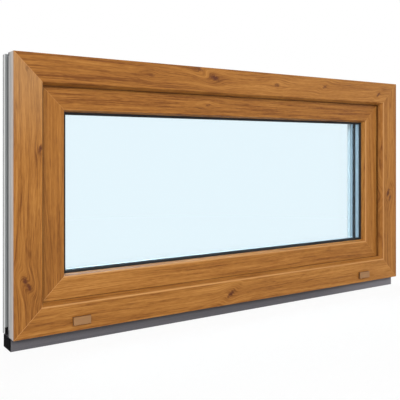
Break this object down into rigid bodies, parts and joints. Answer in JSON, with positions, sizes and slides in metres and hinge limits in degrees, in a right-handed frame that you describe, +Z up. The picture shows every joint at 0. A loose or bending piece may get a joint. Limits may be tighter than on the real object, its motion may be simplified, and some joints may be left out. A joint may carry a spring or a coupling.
{
  "type": "fixed window",
  "caption": "Fixed window with a mitred wood-grain hollow-profile frame, a recessed triple-glazed sash, drain caps and a clipped-on base profile.",
  "frame": {"origin": "middle of the base profile's underside, where the window rests", "axes": "+X along the width, +Y from the weather side into the room, +Z up"},
  "size_m": [1.3, 0.111, 0.68],
  "materials": {
    "frame_profile": "hollow white profile with a wood-grain film on its weather side",
    "sash_profile": "hollow white profile with a wood-grain film on its weather side",
    "bead": "smooth white, satin",
    "glass": "clear, faint blue-green",
    "spacer": "satin",
    "edge_sealant": "matt black",
    "gasket": "matt black",
    "drain_cap": "light brown, satin",
    "base_profile": "dark grey, fine matt",
    "setting_block": "black",
    "keep": "zinc grey"
  },
  "bodies": {
    "root": {"base_profile": "base_profile", "bead_bottom": "bead", "bead_left": "bead", "bead_right": "bead", "bead_top": "bead", "drain_cap_left": "drain_cap", "drain_cap_right": "drain_cap", "edge_seal_inner": "edge_sealant", "edge_seal_outer": "edge_sealant", "frame_head": "frame_profile", "frame_jamb_left": "frame_profile", "frame_jamb_right": "frame_profile", "frame_sill": "frame_profile", "gasket_frame": "gasket", "gasket_glass_room": "gasket", "gasket_glass_weather": "gasket", "gasket_sash": "gasket", "glass_inner": "glass", "glass_middle": "glass", "glass_outer": "glass", "keep_bottom_left": "keep", "keep_bottom_right": "keep", "keep_side_left": "keep", "keep_side_right": "keep", "keep_top_left": "keep", "keep_top_right": "keep", "sash_bottom_rail": "sash_profile", "sash_stile_left": "sash_profile", "sash_stile_right": "sash_profile", "sash_top_rail": "sash_profile", "setting_block_left": "setting_block", "setting_block_right": "setting_block", "spacer_inner": "spacer", "spacer_outer": "spacer"}
  },
  "joints": []
}
